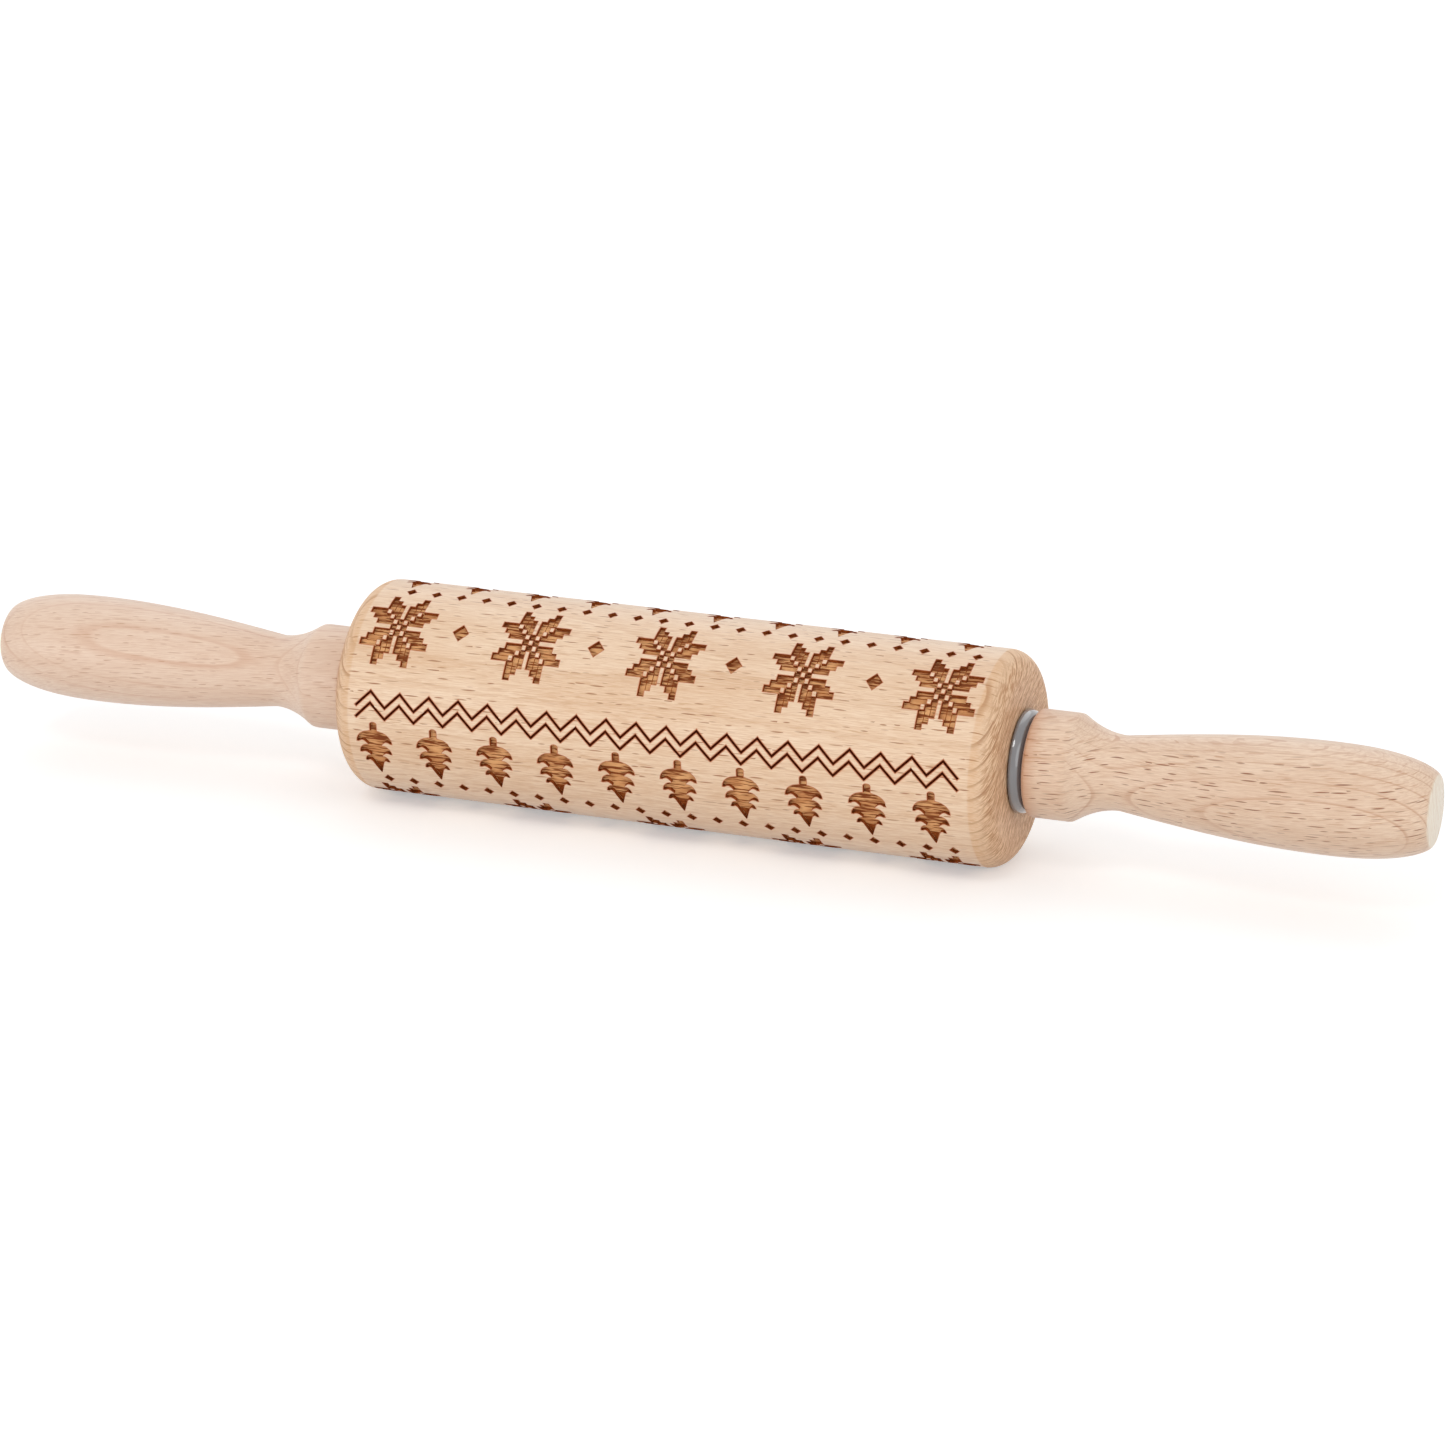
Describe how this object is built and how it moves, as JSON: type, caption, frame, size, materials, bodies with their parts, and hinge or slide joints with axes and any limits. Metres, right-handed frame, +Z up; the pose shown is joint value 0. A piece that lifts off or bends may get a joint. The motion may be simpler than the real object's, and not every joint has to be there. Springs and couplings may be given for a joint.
{
  "type": "rolling pin",
  "caption": "Turned beech rolling pin: an engraved roller with rounded ends spins on an axle between two shaped handles, with a plastic bush at each end of the roller.",
  "frame": {"origin": "under the middle of the roller, on the surface that the pin lies on", "axes": "+X along the pin's axis towards the right handle, -Y towards the viewer, +Z up"},
  "size_m": [0.3858, 0.0548, 0.0548],
  "materials": {
    "roller_beech": "fine sanded, unvarnished, with scorched engraving",
    "handle_beech": "fine sanded, unvarnished",
    "grey_plastic": "moulded, glossy",
    "axle_steel": "drawn rod"
  },
  "bodies": {
    "roller_body": {"roller": "roller_beech", "bush_left": "grey_plastic", "bush_right": "grey_plastic"},
    "handle_body": {"axle": "axle_steel", "handle_left": "handle_beech", "handle_right": "handle_beech"}
  },
  "joints": [
    {"name": "roller_spin", "type": "hinge", "parent": "roller_body", "child": "handle_body", "pos_m": [0, 0, 0.02739], "axis": [1, 0, 0], "continuous": true}
  ]
}
